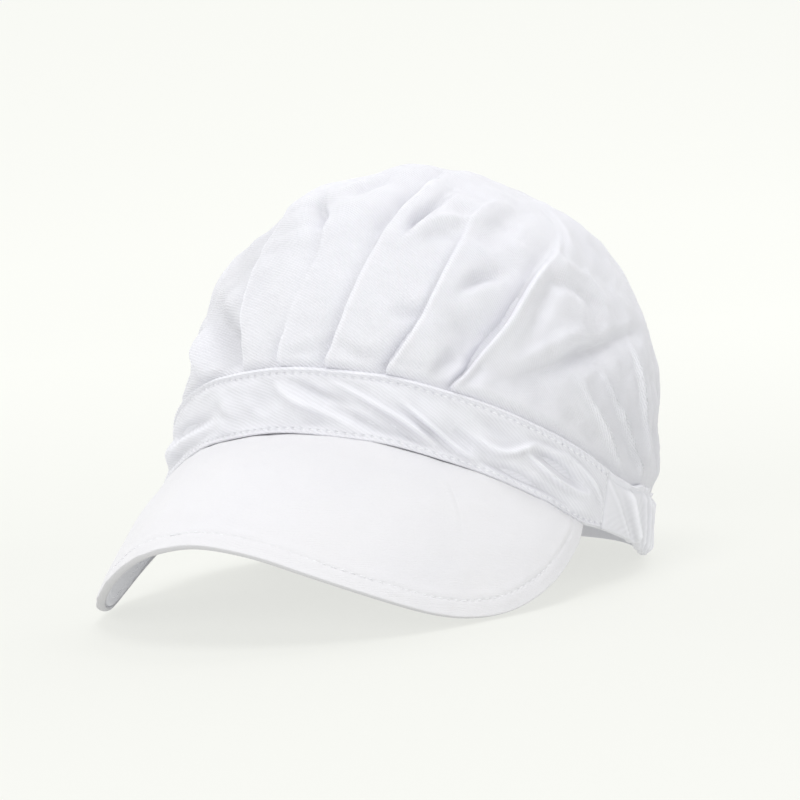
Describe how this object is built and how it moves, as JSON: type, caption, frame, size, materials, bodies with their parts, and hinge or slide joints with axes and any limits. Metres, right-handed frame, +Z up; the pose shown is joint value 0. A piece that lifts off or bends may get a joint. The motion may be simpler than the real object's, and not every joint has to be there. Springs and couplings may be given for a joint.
{
  "type": "visor chef cap",
  "caption": "White cotton-twill kitchen cap with a pleated crown, a stitched front band, a gathered elastic back and a curved cloth visor, resting on its hem.",
  "frame": {"origin": "centre of the bounding box in plan, on the surface that the cap rests on", "axes": "+Z up, -Y toward the tip of the visor, +X toward the wearer's left"},
  "size_m": [0.1698, 0.2463, 0.1427],
  "materials": {
    "crown_cloth": "fine white cotton twill, matt, softly pleated",
    "band_cloth": "white cotton twill with a clear diagonal line, folded and topstitched",
    "casing_cloth": "white cotton twill gathered over elastic",
    "visor_cloth": "white cotton twill drawn smooth over a stiff visor",
    "visor_under_cloth": "white cotton under cloth, matt"
  },
  "bodies": {
    "root": {"crown": "crown_cloth", "front_band": "band_cloth", "back_casing": "casing_cloth", "visor_top": "visor_cloth", "visor_under": "visor_under_cloth"}
  },
  "joints": []
}
